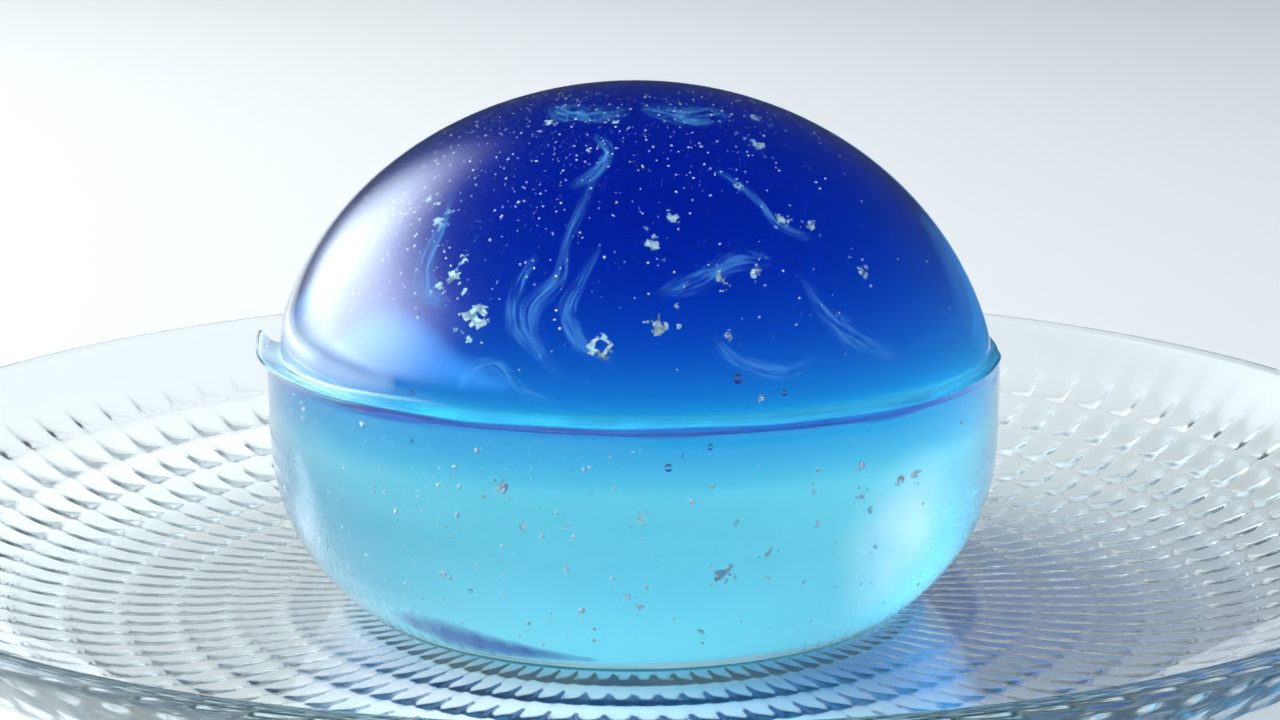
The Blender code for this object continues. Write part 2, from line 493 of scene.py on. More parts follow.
def buildSkin():
    seam = jelly["seam"]
    points = footProfile(0.0)
    points += bodyProfile(0.0, jelly["footRound"] * 1.5, seam - jelly["lipUnder"] - 0.0012, 36)
    shifts = {}
    for point, shares in lipProfile():
        shifts[len(points)] = shares
        points.append(point)
    firstDomeRow = len(points)
    points += domeProfile(0.0)
    bm, rowLayer = turnProfile(points, jelly["turns"])
    shapeJelly(bm, rowLayer, firstDomeRow, shifts)
    piece = makePiece("wet_jelly", bm)
    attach(piece, "root")
    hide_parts("lower_jelly")
    return piece


def buildBleed(inset=0.00025):
    seam = jelly["seam"]
    wall = bodyProfile(inset, seam - jelly["bleed"], seam - 0.0009, 8)
    inner = domeFootRadius(inset)
    top = seam + jelly["blueStart"] + 0.00003
    points = [(0.0, wall[0][1]), *wall, (inner, seam - 0.0006), (inner, top), (0.0, top)]
    bm, rowLayer = turnProfile(points, jelly["turns"] // 2)
    shapeJelly(bm, rowLayer, 9999, {})
    piece = makePiece("blue_bleed", bm, 30)
    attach(piece, "root")
    return piece


def buildRing():
    # a thin milky layer just under the hollow above the lip
    rows = [row for row in lipProfile() if row[0][1] > jelly["seam"]][1:]
    depth = jelly["ringDepth"]
    thick = jelly["ringThick"]
    points = []
    shifts = {}
    for (radius, height), shares in rows:
        shifts[len(points)] = shares
        points.append((radius - depth, height - depth))
    for (radius, height), shares in reversed(rows):
        shifts[len(points)] = shares
        points.append((radius - depth - thick, height - depth - thick))
    bm, rowLayer = turnProfile(points, jelly["turns"], closed=True)
    shapeJelly(bm, rowLayer, 9999, shifts)
    fade = bm.verts.layers.float.new("fade")
    pale = bm.verts.layers.float.new("pale")
    for vert in bm.verts:
        share = shifts[vert[rowLayer]][3]
        vert[pale] = leftEnd(math.atan2(vert.co.y, vert.co.x))
        vert[fade] = max(1 - share ** 3, 0.8 * vert[pale])
    piece = makePiece("milky_ring", bm)
    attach(piece, "root")
    return piece


def buildFootRing(inset=0.00010, thick=0.00012):
    # the pale wet edge where the jelly meets the glass; its pale glow is painted light, a highlight along the wet edge
    # over the shade where jelly meets glass
    low = jelly["footRound"] * 0.4
    high = jelly["footRound"] * 1.7
    wall = bodyProfile(inset, low, high, 3)
    points = wall + [(radius - thick, height) for radius, height in reversed(wall)]
    bm, rowLayer = turnProfile(points, jelly["turns"], closed=True)
    shapeJelly(bm, rowLayer, 9999, {})
    piece = makePiece("foot_ring", bm)
    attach(piece, "root")
    return piece


def buildDome(inset=0.00012):
    low = jelly["seam"] + jelly["blueStart"]
    points = [(0.0, low), (domeFootRadius(inset) + jelly["pinch"], low)]
    points += domeProfile(inset)
    bm, rowLayer = turnProfile(points, jelly["turns"])
    shapeJelly(bm, rowLayer, 1, {})
    piece = makePiece("blue_dome", bm, 40)
    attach(piece, "root")
    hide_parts("upper_jelly")
    return piece


def skinMaterial():
    paint = newPaint("wet cyan jelly")
    skin = paint.node("ShaderNodeBsdfPrincipled", None, {
        "Base Color": (1.0, 1.0, 1.0, 1.0), "Roughness": 0.26, "IOR": 1.34,
        "Transmission Weight": 1.0, "Coat Weight": 0.75, "Coat Roughness": 0.04, "Coat IOR": 1.42})
    depth = paint.node("ShaderNodeVolumeAbsorption", None,
                       {"Color": (0.08, 0.875, 0.988, 1.0), "Density": 27.0})
    return paint.finish(paint.letLampsPass(skin, (0.64, 0.92, 1.0)), depth)


def ringMaterial():
    # cyan milk all round, a pale film at the left end; both glow, painted light that is brightest at the left end
    paint = newPaint("milky cyan")
    pale = paint.own("pale")
    cloud = paint.node("ShaderNodeTexNoise", None, {"Vector": paint.place(), "Scale": 190.0, "Detail": 1.0})
    colour = paint.mix(pale, (0.06, 0.60, 0.95), (0.78, 0.90, 1.0))
    glow = paint.mix(pale, (0.02, 0.18, 0.28), (0.30, 0.37, 0.42))
    haze = paint.node("ShaderNodeBsdfPrincipled", None, {
        "Base Color": colour, "Roughness": 0.6, "Emission Color": glow, "Emission Strength": 1.0,
        "Alpha": (cloud.rise(0.2, 0.8) * 0.35 + 0.25 + pale * 0.3) * paint.own("fade")})
    paint.owner.cycles.emission_sampling = "NONE"
    return paint.finish(haze)


def milkMaterial(name, colour, strength, streaks=None, glow=0.0, least=0.0):
    # a soft haze; streaks are the scales of the cloudiness along and across a wisp; glow makes it shine, painted light
    # for light scattered in the jelly
    paint = newPaint(name)
    if streaks:
        spot = paint.node("ShaderNodeCombineXYZ", None, {
            "X": paint.own("along") * streaks[0], "Y": paint.own("across") * streaks[1], "Z": paint.own("seed")})
        cloud = paint.node("ShaderNodeTexNoise", None, {
            "Vector": spot, "Scale": 1.0, "Detail": 2.0})
        cover = (cloud.rise(0.34, 0.74) * (1.0 - least) + least) * paint.own("fade") * strength
    else:
        cloud = paint.node("ShaderNodeTexNoise", None, {"Vector": paint.place(), "Scale": 190.0, "Detail": 0.0})
        cover = cloud.rise(0.2, 0.8) * (strength * 0.6) + strength * 0.4
    haze = paint.node("ShaderNodeBsdfPrincipled", None, {
        "Base Color": (*colour, 1.0), "Roughness": 0.6, "Alpha": cover,
        "Emission Color": (*colour, 1.0), "Emission Strength": glow})
    paint.owner.cycles.emission_sampling = "NONE"
    return paint.finish(haze)


def tintMaterial(name, colour, density, lampTint):
    paint = newPaint(name)
    inside = paint.node("ShaderNodeBsdfPrincipled", None, {
        "Base Color": (1.0, 1.0, 1.0, 1.0), "Roughness": 0.0, "IOR": 1.0, "Transmission Weight": 1.0})
    depth = paint.node("ShaderNodeVolumeAbsorption", None, {"Color": (*colour, 1.0), "Density": density})
    return paint.finish(paint.letLampsPass(inside, lampTint), depth)


wetJelly = buildSkin()
wetJelly.data.materials.append(skinMaterial())
blueDome = buildDome()
blueDome.data.materials.append(tintMaterial("blue jelly", (0.067, 0.20, 0.80), 90.0, (0.80, 1.0, 0.75)))
blueBleed = buildBleed()
blueBleed.data.materials.append(tintMaterial("blue run into cyan", (0.015, 0.69, 0.94), 65.0, (1.0, 1.0, 1.0)))
milkyRing = buildRing()
milkyRing.data.materials.append(ringMaterial())
footRing = buildFootRing()
# painted highlight: the pale edge glows
footRing.data.materials.append(milkMaterial("pale edge", (0.65, 0.92, 1.0), 0.7, None, 0.25))
print("jelly:", len(wetJelly.data.polygons), "faces in the skin")


# ---- silver leaf, dust, bubbles and wisps in the jelly

mm = 0.001

inside = {
    # silver leaf: degrees round from the front, then height above the plate, size and depth in mm
    "domeLeaf": ((-33, 40.0, 2.3, 0.5), (-32, 41.6, 1.3, 0.6), (-35, 39.2, 1.2, 0.8), (-26, 36.8, 3.0, 0.7),
                 (-36, 53.4, 1.5, 0.5), (-50, 46.2, 1.2, 0.6), (-46, 46.0, 0.9, 0.5), (-43, 44.6, 1.9, 1.6),
                 (4, 36.7, 2.6, 0.8), (4, 43.8, 2.0, 0.9), (8, 46.1, 1.5, 0.8), (15, 40.9, 1.5, 0.7),
                 (22, 41.2, 1.6, 0.7), (44, 40.0, 1.9, 0.5), (32, 45.5, 1.6, 1.0), (38, 44.7, 1.3, 1.0),
                 (19, 29.6, 0.9, 0.6), (15, 35.6, 1.0, 0.6), (43, 51.7, 1.7, 1.4), (62, 53.6, 1.6, 1.4),
                 (26, 48.6, 1.2, 1.2), (-8, 53.8, 1.0, 0.8), (120, 44.0, 2.2, 0.8), (160, 38.0, 2.0, 0.8),
                 (-130, 42.0, 1.8, 0.8), (-165, 47.0, 1.6, 0.8), (-100, 36.0, 1.7, 0.8), (95, 50.0, 1.6, 0.9)),
    "ringLeaf": (-5, 34.9, 2.4, 0.7),
    "bodyLeaf": ((-40, 21.1, 0.9, 0.8), (-19, 20.9, 1.6, 0.9), (-22, 19.8, 0.8, 0.9), (-16, 17.1, 1.1, 1.2),
                 (-10, 12.7, 0.9, 1.6), (-30, 10.8, 1.0, 1.0), (1, 8.5, 1.2, 1.3), (-1, 9.7, 0.9, 1.2),
                 (13, 12.4, 2.7, 0.8), (20, 14.0, 1.2, 1.0), (15, 17.7, 0.9, 1.2), (1, 18.2, 1.3, 2.0),
                 (35, 18.7, 1.1, 0.8), (43, 19.9, 1.3, 0.8), (47, 19.7, 1.4, 1.6), (35, 22.0, 1.0, 0.8),
                 (37, 17.1, 0.9, 0.8), (39, 12.8, 0.9, 1.0), (11, 5.2, 1.0, 0.9), (27, 10.0, 0.7, 1.4),
                 (28, 16.4, 0.8, 1.4), (100, 16.0, 1.6, 1.0), (150, 13.0, 1.5, 1.0), (-150, 18.0, 1.4, 1.0),
                 (-110, 12.0, 1.5, 1.0), (-75, 16.0, 1.1, 1.0), (70, 10.0, 1.2, 1.2)),
    "leafCells": 7,
    "leafThick": 0.00004,
    # bubbles: degrees round, then height, radius and depth in mm
    "bubbles": ((16, 31.8, 0.48, 1.0), (5, 23.4, 0.40, 0.9), (11, 25.4, 0.29, 0.8), (23, 30.0, 0.30, 0.7),
                (-35, 28.9, 0.26, 0.5), (7, 24.6, 0.18, 0.8), (-34, 24.4, 0.20, 0.9), (-26, 9.0, 0.25, 1.2)),
    "looseBubbles": 34,
    "domeDust": 2600,
    "bodyDust": 700,
    "crumbs": 300,
    "wispThick": 0.00003,
    # painted shade: dark blue sheets at the left of the foot and under the lip; degrees round, height, depth and half
    # width in mm
    "blueShadeSheets": (((-46, 4.0, 0.6, 0.8), (-37, 3.0, 0.7, 2.2), (-28, 2.2, 0.8, 2.0), (-18, 1.7, 0.8, 1.3),
                   (-6, 1.2, 0.8, 0.5)),
                  ((-74, 26.9, 0.3, 0.10), (-40, 26.85, 0.3, 0.22), (-12, 26.8, 0.3, 0.18), (16, 26.85, 0.3, 0.26),
                   (46, 26.8, 0.3, 0.30), (84, 26.9, 0.3, 0.10))),
    # wisps: degrees round from the front, then height, depth and half width in mm
    "domeWisps": (
        ((-9, 50.5, 0.7, 0.3), (-11, 47.5, 0.7, 0.7), (-13, 44.0, 0.8, 0.5), (-13, 41.0, 0.9, 1.0),
         (-17, 38.0, 1.0, 1.3), (-15, 34.5, 1.1, 1.0), (-10, 31.5, 1.0, 0.6)),
        ((-6, 44.0, 0.8, 0.3), (-9, 41.0, 0.9, 0.7), (-11, 38.0, 1.0, 1.2), (-8, 35.0, 1.2, 1.0),
         (-3, 33.5, 1.0, 0.5)),
        ((-18, 43.0, 0.8, 0.4), (-20, 40.0, 0.9, 1.0), (-19, 36.5, 1.0, 1.1), (-14, 33.5, 1.1, 0.8)),
        ((-50, 54.6, 0.6, 0.3), (-26, 54.1, 0.7, 0.8), (-2, 54.4, 0.7, 0.4)),
        ((4, 54.6, 0.6, 0.4), (26, 54.0, 0.7, 0.9), (50, 54.3, 0.7, 0.4)),
        ((-14, 52.6, 0.7, 0.3), (-8, 51.6, 0.8, 0.7), (-10, 50.0, 0.8, 0.7), (-16, 48.6, 0.7, 0.3)),
        ((4, 39.6, 0.8, 0.5), (9, 40.4, 0.9, 1.2), (14, 41.4, 0.8, 1.0), (20, 42.4, 0.9, 1.3),
         (26, 42.0, 0.8, 0.5)),
        ((-27, 29.5, 0.7, 0.5), (-25, 32.0, 0.7, 0.9), (-21, 32.6, 0.7, 0.8), (-17, 30.6, 0.8, 0.8),
         (-12, 29.6, 0.8, 0.5)),
        ((-44, 47.0, 0.6, 0.4), (-41, 44.0, 0.6, 1.0), (-40, 41.0, 0.6, 1.4), (-37, 38.6, 0.7, 1.2),
         (-31, 37.4, 0.7, 0.5)),
        ((22, 50.0, 0.7, 0.4), (28, 47.5, 0.8, 0.7), (30, 45.0, 0.8, 0.8), (36, 43.5, 0.8, 0.4)),
        ((30, 40.5, 0.8, 0.4), (33, 37.0, 0.9, 1.3), (38, 34.0, 1.0, 1.5), (46, 32.0, 0.9, 0.8)),
        ((12, 36.0, 0.9, 0.4), (16, 33.5, 1.0, 0.9), (24, 32.0, 1.0, 1.0), (30, 33.5, 1.0, 0.5))),
    # partly real haze, partly painted light: white glowing veils at the body's right where light gathers, above the
    # ledge at the left next to the highlight, and at the body's left
    "bodyVeilsAndGlow": (
        ((40, 4.5, 1.8, 2.0), (43, 8.0, 2.0, 7.5), (46, 12.5, 2.0, 9.0), (49, 17.5, 1.8, 8.0), (51, 22.5, 1.6, 3.0)),
        ((-86, 29.6, 0.4, 1.0), (-74, 30.0, 0.5, 3.0), (-62, 30.0, 0.5, 3.3), (-50, 29.8, 0.6, 2.6),
         (-38, 29.6, 0.7, 1.0)),
        ((-70, 6.0, 1.0, 1.2), (-64, 10.0, 1.2, 3.6), (-60, 15.0, 1.2, 3.6), (-62, 20.0, 1.0, 1.4))),
    # partly cloudiness in the jelly, partly painted light: glowing azure sheets where light comes through the dome's
    # thin right edge and at its lower left
    "azureGlowClouds": (
        ((86, 28.8, 0.6, 3.0), (84, 31.5, 0.7, 9.0), (82, 35.0, 0.7, 10.0), (80, 39.0, 0.7, 7.0),
         (78, 43.0, 0.6, 2.0)),
        ((-54, 31.0, 0.8, 1.2), (-47, 33.5, 0.9, 3.2), (-38, 33.0, 1.0, 3.6), (-29, 31.8, 1.1, 2.4),
         (-18, 30.6, 1.2, 1.0)),
        ((-76, 31.0, 0.5, 0.9), (-70, 34.0, 0.6, 2.8), (-63, 37.0, 0.6, 2.4), (-58, 40.5, 0.6, 0.9))),
}


def tilted(x, y, height):
    # the dome sits a little low at the right
    seam = jelly["seam"]
    lean = (jelly["height"] - height) / (jelly["height"] - seam) if height > seam else (height / seam) ** 2
    return Vector((x, y, height + jelly["seamSlope"] * x * lean + plate["thick"]))


def jellyRadius(height):
    if height < jelly["seam"]:
        return bodyRadius(height)
    low = max(0.0, 1 - max(0.0, height - jelly["seam"] - jelly["fillet"]) / jelly["pinchHeight"])
    return domeRadius(height) - (jelly["pinch"] + jelly["pinchLeft"] * 0.5) * low ** 2


def underSkin(turn, height, depth):
    # a place in the jelly and the way out of it; degrees round from the front, metres above the plate
    angle = math.radians(turn - 90)
    step = 0.0002
    slope = (jellyRadius(height + step) - jellyRadius(height - step)) / (2 * step)
    outward = Vector((1.0, 0.0, -slope)).normalized()
    radius = max(0.0, jellyRadius(height) - depth * outward.x)
    spot = tilted(radius * math.cos(angle), radius * math.sin(angle), height - depth * outward.z)
    out = Vector((outward.x * math.cos(angle), outward.x * math.sin(angle), outward.z))
    return spot, out


def addTo(bm, part):
    # copies one bmesh into another
    spare = bpy.data.meshes.new("spare")
    part.to_mesh(spare)
    part.free()
    bm.from_mesh(spare)
    bpy.data.meshes.remove(spare)


def tornLeaf(size, draw, ring=False):
    # a scrap of thin leaf, torn from a square sheet and crumpled
    part = bmesh.new()
    cells = inside["leafCells"]
    bmesh.ops.create_grid(part, x_segments=cells, y_segments=cells, size=size / 2)
    seed = Vector((draw.uniform(0, 90), draw.uniform(0, 90), draw.uniform(0, 90)))
    lost = []
    for face in part.faces:
        middle = face.calc_center_median() / size * 2
        away = middle.length
        torn = 0.62 + 0.75 * noise.noise(middle * 1.9 + seed)
        if ring:
            keep = 0.42 < away < 0.92 + 0.3 * noise.noise(middle * 3.0 + seed)
        else:
            keep = away < torn
        if not keep:
            lost.append(face)
    bmesh.ops.delete(part, geom=lost, context="FACES")
    for vert in part.verts:
        place = vert.co / size * 2
        jog = noise.noise_vector(place * 2.6 + seed) * 0.16 * size
        vert.co += Vector((jog.x * 0.8, jog.y * 0.8, jog.z * 1.7))
    bmesh.ops.solidify(part, geom=part.faces[:], thickness=inside["leafThick"])
    bmesh.ops.recalc_face_normals(part, faces=part.faces)
    return part


def setAt(part, turn, height, depth, draw, sway):
    # turns a flat part to face out of the jelly, swayed by up to so many degrees, and puts it in its place
    spot, out = underSkin(turn, height, depth)
    away = out.to_track_quat("Z", "Y").to_matrix().to_4x4()
    spin = Euler((math.radians(draw.uniform(-sway, sway)), math.radians(draw.uniform(-sway, sway)),
                  draw.uniform(0, 2 * math.pi))).to_matrix().to_4x4()
    bmesh.ops.transform(part, matrix=Matrix.Translation(spot) @ away @ spin, verts=part.verts)


def buildLeaf(name, places, seed, sway):
    draw = random.Random(seed)
    bm = bmesh.new()
    for turn, height, size, depth in places:
        part = tornLeaf(size * mm, draw)
        setAt(part, turn, height * mm, depth * mm, draw, sway)
        addTo(bm, part)
        # smaller scraps round it
        for _ in range(draw.randint(2, 5)):
            part = tornLeaf(size * draw.uniform(0.15, 0.4) * mm, draw)
            near = size * 0.9 / 40 * 57
            setAt(part, turn + draw.uniform(-near, near), (height + draw.uniform(-size, size) * 0.8) * mm,
                  depth * draw.uniform(0.8, 1.3) * mm, draw, 60)
            addTo(bm, part)
    if name == "dome_leaf":
        turn, height, size, depth = inside["ringLeaf"]
        part = tornLeaf(size * mm, draw, ring=True)
        setAt(part, turn, height * mm, depth * mm, draw, 8)
        addTo(bm, part)
    piece = makePiece(name, bm, 30)
    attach(piece, "root")
    return piece


def buildSpecks(name, count, seed, place, size, sides=1):
    # place(draw) gives degrees round, height and depth in mm, size(draw) a radius in mm
    draw = random.Random(seed)
    bm = bmesh.new()
    for _ in range(count):
        turn, height, depth = place(draw)
        radius = size(draw) * mm
        part = bmesh.new()
        bmesh.ops.create_icosphere(part, subdivisions=sides, radius=radius)
        bmesh.ops.scale(part, vec=(1.0, draw.uniform(0.6, 1.0), draw.uniform(0.3, 0.9)), verts=part.verts)
        setAt(part, turn, height * mm, depth * mm + radius, draw, 90)
        addTo(bm, part)
    piece = makePiece(name, bm)
    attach(piece, "root")
    return piece


def domeSpot(draw):
    # most of the dust hangs in the upper left of the dome and near its top
    while True:
        turn = draw.uniform(-180, 180)
        height = 30 + 25.6 * draw.random() ** 0.75
        left = math.exp(-((turn + 42) / 42) ** 2)
        top = smoothStep(46, 54, height) * 0.55
        if draw.random() < 0.10 + 0.75 * left * smoothStep(30, 44, height) + top:
            return turn, height, 0.05 + 0.9 * draw.random() ** 2


def bodySpot(draw):
    turn = draw.gauss(-35, 30) if draw.random() < 0.35 else draw.uniform(-180, 180)
    return turn, draw.uniform(2.5, 26.0), 0.1 + 1.6 * draw.random() ** 2


def fineSize(draw):
    return 0.05 + 0.16 * draw.random() ** 3


def paleSize(draw):
    return 0.06 + 0.34 * draw.random() ** 5


def crumbSize(draw):
    return 0.06 + 0.16 * draw.random() ** 3


def buildBubbles():
    draw = random.Random(31)
    bm = bmesh.new()
    places = list(inside["bubbles"])
    for _ in range(inside["looseBubbles"]):
        places.append((draw.uniform(-180, 180), draw.uniform(4, 44), 0.07 + 0.2 * draw.random() ** 3,
                       draw.uniform(0.7, 6.0)))
    for turn, height, radius, depth in places:
        part = bmesh.new()
        bmesh.ops.create_icosphere(part, subdivisions=3, radius=radius * mm)
        setAt(part, turn, height * mm, (depth + radius) * mm, draw, 0)
        addTo(bm, part)
    piece = makePiece("air_bubbles", bm)
    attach(piece, "root")
    return piece


def addSheet(bm, layers, cells, put, seed):
    # a thin closed sheet; put(u, v) gives its place and the way out there, u from 0 to 1 and v from -1 to 1
    part = bmesh.new()
    bmesh.ops.create_grid(part, x_segments=cells[0], y_segments=cells[1], size=0.5)
    bmesh.ops.solidify(part, geom=part.faces[:], thickness=inside["wispThick"])
    bmesh.ops.recalc_face_normals(part, faces=part.faces)
    start = len(bm.verts)
    addTo(bm, part)
    bm.verts.ensure_lookup_table()
    along, across, fade, seedLayer = layers
    for vert in bm.verts[start:]:
        u = vert.co.x + 0.5
        v = vert.co.y * 2
        vert[along] = u
        vert[across] = v
        vert[fade] = (math.sin(math.pi * min(1.0, max(0.0, u))) ** 0.7) * (1 - min(1.0, abs(v)) ** 2) ** 1.5
        vert[seedLayer] = seed
        spot, out = put(u, v)
        vert.co = spot + out * vert.co.z


def wispLine(points, u):
    # smooth line through (turn, height, depth, half width) points
    place = min(1.0, max(0.0, u)) * (len(points) - 1)
    first = min(int(place), len(points) - 2)
    share = place - first
    around = [points[max(0, min(len(points) - 1, first + step))] for step in (-1, 0, 1, 2)]
    return [0.5 * (2 * b + (c - a) * share + (2 * a - 5 * b + 4 * c - d) * share ** 2
                   + (3 * b - a - 3 * c + d) * share ** 3) for a, b, c, d in zip(*around)]


def buildWisps(name, lines, cells):
    bm = bmesh.new()
    layers = [bm.verts.layers.float.new(key) for key in ("along", "across", "fade", "seed")]
    for number, points in enumerate(lines):
        def put(u, v, points=points):
            turn, height, depth, half = wispLine(points, u)
            ahead = wispLine(points, min(1.0, u + 0.02))
            back = wispLine(points, max(0.0, u - 0.02))
            radius = jellyRadius(height * mm) / mm
            run = math.radians(ahead[0] - back[0]) * radius
            climb = ahead[1] - back[1]
            length = math.hypot(run, climb) or 1.0
            side = v * half
            spotTurn = turn + math.degrees(-climb / length * side / max(3.0, radius))
            spotHeight = height + run / length * side
            dip = 0.25 * math.sin(3.1 * u + number) + 0.2 * v * math.sin(5 * u + 2 * number)
            return underSkin(spotTurn, spotHeight * mm, max(0.25, depth + dip) * mm)
        addSheet(bm, layers, cells, put, 3.7 * number)
    piece = makePiece(name, bm)
    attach(piece, "root")
    return piece


def leafMaterial():
    paint = newPaint("silver leaf")
    place = paint.place()
    crease = paint.node("ShaderNodeTexNoise", None, {"Vector": place, "Scale": 2600.0, "Detail": 3.0})
    bump = paint.node("ShaderNodeBump", None, {"Strength": 0.7, "Distance": 0.0002, "Height": crease})
    surface = paint.node("ShaderNodeBsdfPrincipled", None, {
        "Base Color": (0.72, 0.92, 0.98, 1.0), "Metallic": 0.5, "Roughness": crease * 0.3 + 0.22,
        "Normal": bump})
    return paint.finish(surface)


def dustMaterial():
    paint = newPaint("silver dust")
    glint = paint.node("ShaderNodeTexNoise", None, {"Vector": paint.place(), "Scale": 900.0})
    surface = paint.node("ShaderNodeBsdfPrincipled", None, {
        "Base Color": (0.97, 0.98, 1.0, 1.0), "Metallic": 0.2, "Roughness": glint * 0.4 + 0.3})
    return paint.finish(surface)


def bubbleMaterial():
    paint = newPaint("air bubble")
    mist = paint.node("ShaderNodeTexNoise", None, {"Vector": paint.place(), "Scale": 500.0})
    surface = paint.node("ShaderNodeBsdfPrincipled", None, {
        "Base Color": (1.0, 1.0, 1.0, 1.0), "Roughness": mist * 0.02, "IOR": 1.33, "Transmission Weight": 1.0})
    return paint.finish(paint.letLampsPass(surface))


# real milky wisps that also glow a little, as painted light
domeWisps = buildWisps("milky_wisps", inside["domeWisps"], (40, 8))
domeWisps.data.materials.append(milkMaterial("milky wisp", (0.14, 0.52, 0.95), 0.24, (5.0, 3.4), 0.40))
# painted light: the white veils glow
bodyVeilsAndGlow = buildWisps("cloud_veils_and_glow", inside["bodyVeilsAndGlow"], (30, 12))
bodyVeilsAndGlow.data.materials.append(milkMaterial("milky veil", (0.88, 0.97, 1.0), 0.24, (2.6, 0.9), 0.80, 0.40))
# painted light: these azure sheets glow strongly
azureGlowClouds = buildWisps("azure_glow_clouds", inside["azureGlowClouds"], (30, 12))
azureGlowClouds.data.materials.append(milkMaterial("azure cloud", (0.08, 0.42, 0.95), 0.24, (1.3, 0.8), 1.30, 0.5))
# painted shade: dark blue sheets where the jelly shows shade at its foot and under the lip
blueShadeSheets = buildWisps("blue_shade_sheets", inside["blueShadeSheets"], (30, 12))
blueShadeSheets.data.materials.append(milkMaterial("deep blue painted shade", (0.01, 0.13, 0.62), 1.0, (12.0, 0.3), 0.20, 0.6))
domeLeaf = buildLeaf("dome_leaf", inside["domeLeaf"], 11, 28)
bodyLeaf = buildLeaf("body_leaf", inside["bodyLeaf"], 12, 40)
for piece in (domeLeaf, bodyLeaf):
    piece.data.materials.append(leafMaterial())
starDust = buildSpecks("star_dust", inside["domeDust"], 21, domeSpot, fineSize)
paleDust = buildSpecks("pale_dust", inside["bodyDust"], 22, bodySpot, paleSize)
leafCrumbs = buildSpecks("leaf_crumbs", inside["crumbs"], 23, bodySpot, crumbSize)
for piece in (starDust, paleDust):
    piece.data.materials.append(dustMaterial())
leafCrumbs.data.materials.append(leafMaterial())
bubbles = buildBubbles()
bubbles.data.materials.append(bubbleMaterial())
print("in the jelly:", len(starDust.data.polygons) + len(domeLeaf.data.polygons), "faces in the dome")


# ---- floor, lamps and camera

stage = {
    # painted light: the floor's colour is lighter at the left, towards the window, and darker at the right
    "floorPaintedLitLeft": (0.70, 0.71, 0.705),
    "floorPaintedShadeRight": (0.60, 0.622, 0.635),
    # painted shade: the floor is darker under the lamp, where the lamp lights it most
    "floorPaintedShadeUnderLamp": (0.40, 0.415, 0.42),
    # painted reflection: the floor's colour in glossy rays only, at the right
    "floorPaintedReflection": (0.05, 0.20, 0.42),
    "floorReach": 3.0,
    "windowTurn": (19.0, 52.0, 82.0, 122.0),   # degrees from the back towards the left: where it starts and ends
    "windowRise": (0.0, 12.0, 24.0, 48.0),     # degrees above the floor
    "windowGlow": 9.5,
    # painted light: glow and reach of a pool on the floor at the left that the jelly mirrors
    "paintedSunPool": (4.8, 5.46, 6.0),
    "paintedSunPoolNear": 0.35,
    # painted light: place, reach and colours of a glowing spot on the floor in front of the jelly
    "paintedCausticAt": (-0.006, -0.053),
    "paintedCausticReach": 0.034,
    "paintedCausticLeft": (0.52, 0.72, 0.71),
    "paintedCausticRight": (0.18, 0.67, 0.77),
    "wallGlow": 1.15,
    "fillPower": 27.0,
    "lampPlace": (-0.9, 0.12, 1.0),
    "lens": 75.94,
    "cameraPlace": (0.00063, -0.2890, 0.09136),
    "cameraDip": 12.2577,
}


def buildFloor():
    bm = bmesh.new()
    bmesh.ops.create_grid(bm, x_segments=2, y_segments=2, size=stage["floorReach"])
    floor = makePiece("floor", bm)
    paint = newPaint("pale floor")
    x = paint.node("ShaderNodeSeparateXYZ", None, {0: paint.place()}, out="X")
    y = paint.node("ShaderNodeSeparateXYZ", None, {0: paint.place()}, out="Y")
    # painted light: lighter at the left, towards the window, darker at the right
    colour = paint.mix(x.rise(-0.35, 0.30), stage["floorPaintedLitLeft"], stage["floorPaintedShadeRight"])
    east, north, _ = stage["lampPlace"]
    fromLamp = ((x - east) * (x - east) + (y - north) * (y - north)) ** 0.5
    # painted shade: darker under the lamp, where the lamp lights it most
    colour = paint.mix(fromLamp.rise(0.30, 0.80), stage["floorPaintedShadeUnderLamp"], colour)
    # painted reflection: in glossy rays only, the floor at the right turns dim blue, which the jelly mirrors at its
    # right as a dim bluish side of the room
    isGlossy = paint.node("ShaderNodeLightPath", out="Is Glossy Ray")
    isThrough = paint.node("ShaderNodeLightPath", out="Is Transmission Ray")
    colour = paint.mix(isGlossy * (1 - isThrough) * x.rise(0.0, 0.05), colour, stage["floorPaintedReflection"])
    # painted light: a glowing pool on the floor at the left, out of the picture and out of the camera's sight, stands
    # in for a sunny end of the table which the jelly mirrors
    isCamera = paint.node("ShaderNodeLightPath", out="Is Camera Ray")
    turn = x.math("ARCTAN2", x * -1.0, y) * math.degrees(1.0)
    near = stage["paintedSunPoolNear"]
    away = (x * x + y * y) ** 0.5
    paintedSunPool = ((1 - x.rise(-0.44, -0.12)) * (1 - turn.rise(46.0, 66.0)) * (1 - away.rise(near, near * 1.8))
              * (1 - isCamera))
    glow = paint.mix(paintedSunPool, (0.0, 0.0, 0.0), stage["paintedSunPool"])
    # painted light: the floor glows in a spot in front of the jelly, standing in for the light that the jelly gathers
    # on the glass there, white at the left and blue at the right
    aside = x - stage["paintedCausticAt"][0]
    ahead = y - stage["paintedCausticAt"][1]
    spot = 1 - ((aside * aside * 0.5 + ahead * ahead) ** 0.5).rise(0.004, stage["paintedCausticReach"])
    paintedCaustic = paint.mix(x.rise(-0.035, 0.03), stage["paintedCausticLeft"], stage["paintedCausticRight"])
    surface = paint.node("ShaderNodeBsdfPrincipled", None, {
        "Base Color": colour, "Roughness": 0.6, "Specular IOR Level": 0.15,
        "Emission Color": paint.mix(spot, glow, paintedCaustic), "Emission Strength": 1.0})
    floor.data.materials.append(paint.finish(surface))
    paint.owner.cycles.emission_sampling = "NONE"
    return floor


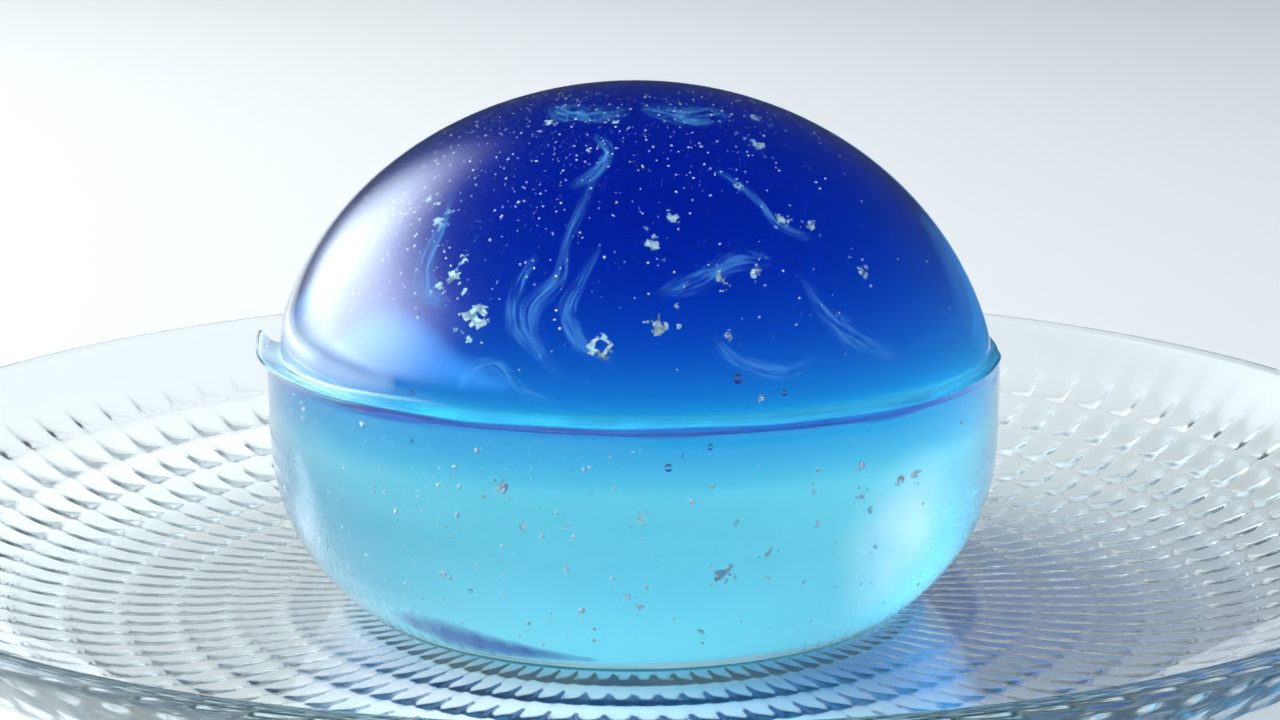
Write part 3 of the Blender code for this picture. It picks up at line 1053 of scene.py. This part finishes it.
def addRoom():
    # a dark room with one broad soft window; a pale wall is what shows behind and through the object
    paint = Paint(bpy.data.worlds.new("room"))
    bpy.context.scene.world = paint.owner
    paint.owner.cycles.sampling_method = "NONE"
    way = paint.node("ShaderNodeTexCoord", out="Generated")
    x = paint.node("ShaderNodeSeparateXYZ", None, {0: way}, out="X")
    y = paint.node("ShaderNodeSeparateXYZ", None, {0: way}, out="Y")
    z = paint.node("ShaderNodeSeparateXYZ", None, {0: way}, out="Z")
    turn = x.math("ARCTAN2", x * -1.0, y) * math.degrees(1.0)
    height = z.math("ARCSINE", z) * math.degrees(1.0)
    sides = stage["windowTurn"]
    ends = stage["windowRise"]
    window = (turn.rise(sides[0], sides[1]) * (1 - turn.rise(sides[2], sides[3]))
              * height.rise(ends[0], ends[1]) * (1 - height.rise(ends[2], ends[3])))
    isCamera = paint.node("ShaderNodeLightPath", out="Is Camera Ray")
    isThrough = paint.node("ShaderNodeLightPath", out="Is Transmission Ray")
    dark = paint.node("ShaderNodeBackground", None, {
        "Color": (0.85, 0.92, 1.0, 1.0), "Strength": 0.01 + (1 - height.rise(0.0, 40.0)) * 0.045})
    pale = paint.node("ShaderNodeBackground", None, {
        "Color": (0.93, 0.96, 1.0, 1.0), "Strength": stage["wallGlow"] * (1 - isCamera * 0.35)})
    walls = paint.node("ShaderNodeMixShader", None, {
        0: isCamera.math("MAXIMUM", isCamera, isThrough), 1: dark, 2: pale})
    glow = paint.node("ShaderNodeBackground", None, {
        "Color": (0.80, 0.91, 1.0, 1.0), "Strength": window * (1 - isCamera) * (1 - isThrough * 0.55) * stage["windowGlow"]})
    paint.finish(paint.node("ShaderNodeAddShader", None, {0: walls, 1: glow}), None, "ShaderNodeOutputWorld")


def addFill():
    # lights the floor evenly and isn't mirrored in the jelly or the glass
    lamp = bpy.data.lights.new("fill", "AREA")
    lamp.shape = "DISK"
    lamp.size = 1.1
    lamp.energy = stage["fillPower"]
    holder = bpy.data.objects.new("fill", lamp)
    holder.location = stage["lampPlace"]
    holder.rotation_euler = (-holder.location).to_track_quat("-Z", "Y").to_euler()
    holder.visible_glossy = False
    holder.visible_transmission = False
    bpy.context.scene.collection.objects.link(holder)


def addCamera():
    camera = bpy.data.cameras.new("camera")
    camera.lens = stage["lens"]
    camera.sensor_width = 36.0
    camera.clip_start = 0.01
    holder = bpy.data.objects.new("camera", camera)
    holder.location = stage["cameraPlace"]
    holder.rotation_euler = (math.radians(90 - stage["cameraDip"]), 0.0, 0.0)
    bpy.context.scene.collection.objects.link(holder)
    bpy.context.scene.camera = holder


buildFloor()
addRoom()
addFill()
addCamera()
bpy.context.scene.view_settings.view_transform = "Standard"
cycles = bpy.context.scene.cycles
cycles.max_bounces = 12
cycles.diffuse_bounces = 2
cycles.glossy_bounces = 10
cycles.transmission_bounces = 12
cycles.transparent_max_bounces = 16
print("stage set")
